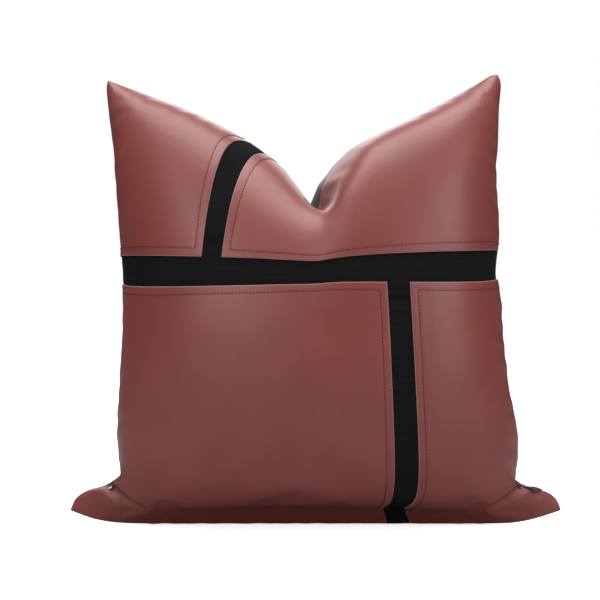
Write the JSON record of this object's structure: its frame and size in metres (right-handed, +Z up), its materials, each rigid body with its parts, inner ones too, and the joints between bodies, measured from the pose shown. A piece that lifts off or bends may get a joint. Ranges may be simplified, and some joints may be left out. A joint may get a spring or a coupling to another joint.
{
  "type": "throw pillow",
  "caption": "Square scatter cushion standing on edge with a dent in its top: leather panels top-stitched over black webbing, plain black back with a zip, fibre insert.",
  "frame": {"origin": "middle of the bounding box at the bottom, on the surface the cushion stands on", "axes": "+Z up, +X to the right seen from the front, and the front of the cushion faces -Y"},
  "size_m": [0.451, 0.1907, 0.408],
  "materials": {
    "leather_red": "smooth satin finish, oxblood",
    "webbing": "matt ribbed woven tape, black",
    "thread": "twisted sewing thread, dark burgundy",
    "leather_black": "smooth satin finish, black",
    "zip_tape": "matt herringbone woven tape, black",
    "zip_nylon": "moulded nylon coil, black",
    "zip_metal": "dark nickel plate",
    "insert_fabric": "plain white non-woven",
    "insert_fibre": "white polyester fibre",
    "label_fabric": "plain woven label, black"
  },
  "bodies": {
    "cushion": {"front_panel_upper_left": "leather_red", "front_panel_upper_right": "leather_red", "front_panel_lower_left": "leather_red", "front_panel_lower_right": "leather_red", "webbing_band": "webbing", "webbing_upper_strap": "webbing", "webbing_lower_strap": "webbing", "topstitch_upper_left": "thread", "topstitch_upper_right": "thread", "topstitch_lower_left": "thread", "topstitch_lower_right": "thread", "back_panel_upper": "leather_black", "back_panel_lower": "leather_black", "zip_tape_upper": "zip_tape", "zip_tape_lower": "zip_tape", "zip_chain_upper": "zip_nylon", "zip_chain_lower": "zip_nylon", "zip_top_stop_upper": "zip_metal", "zip_top_stop_lower": "zip_metal", "zip_bottom_stop": "zip_metal", "insert_casing_front": "insert_fabric", "insert_casing_back": "insert_fabric", "insert_fill": "insert_fibre", "side_label": "label_fabric"},
    "zip_slider": {"zip_slider": "zip_metal"},
    "zip_pull": {"zip_pull": "zip_metal"}
  },
  "joints": [
    {"name": "zip_travel", "type": "hinge", "parent": "cushion", "child": "zip_slider", "pos_m": [-0.00199, -0.29992, 0.0497], "axis": [0, 0, 1], "range_deg": [0, 50.9]},
    {"name": "pull_swing", "type": "hinge", "parent": "zip_slider", "child": "zip_pull", "pos_m": [0.15748, 0.03485, 0.04906], "axis": [0.9028, -0.4301, 0], "range_deg": [-4, 155]}
  ]
}
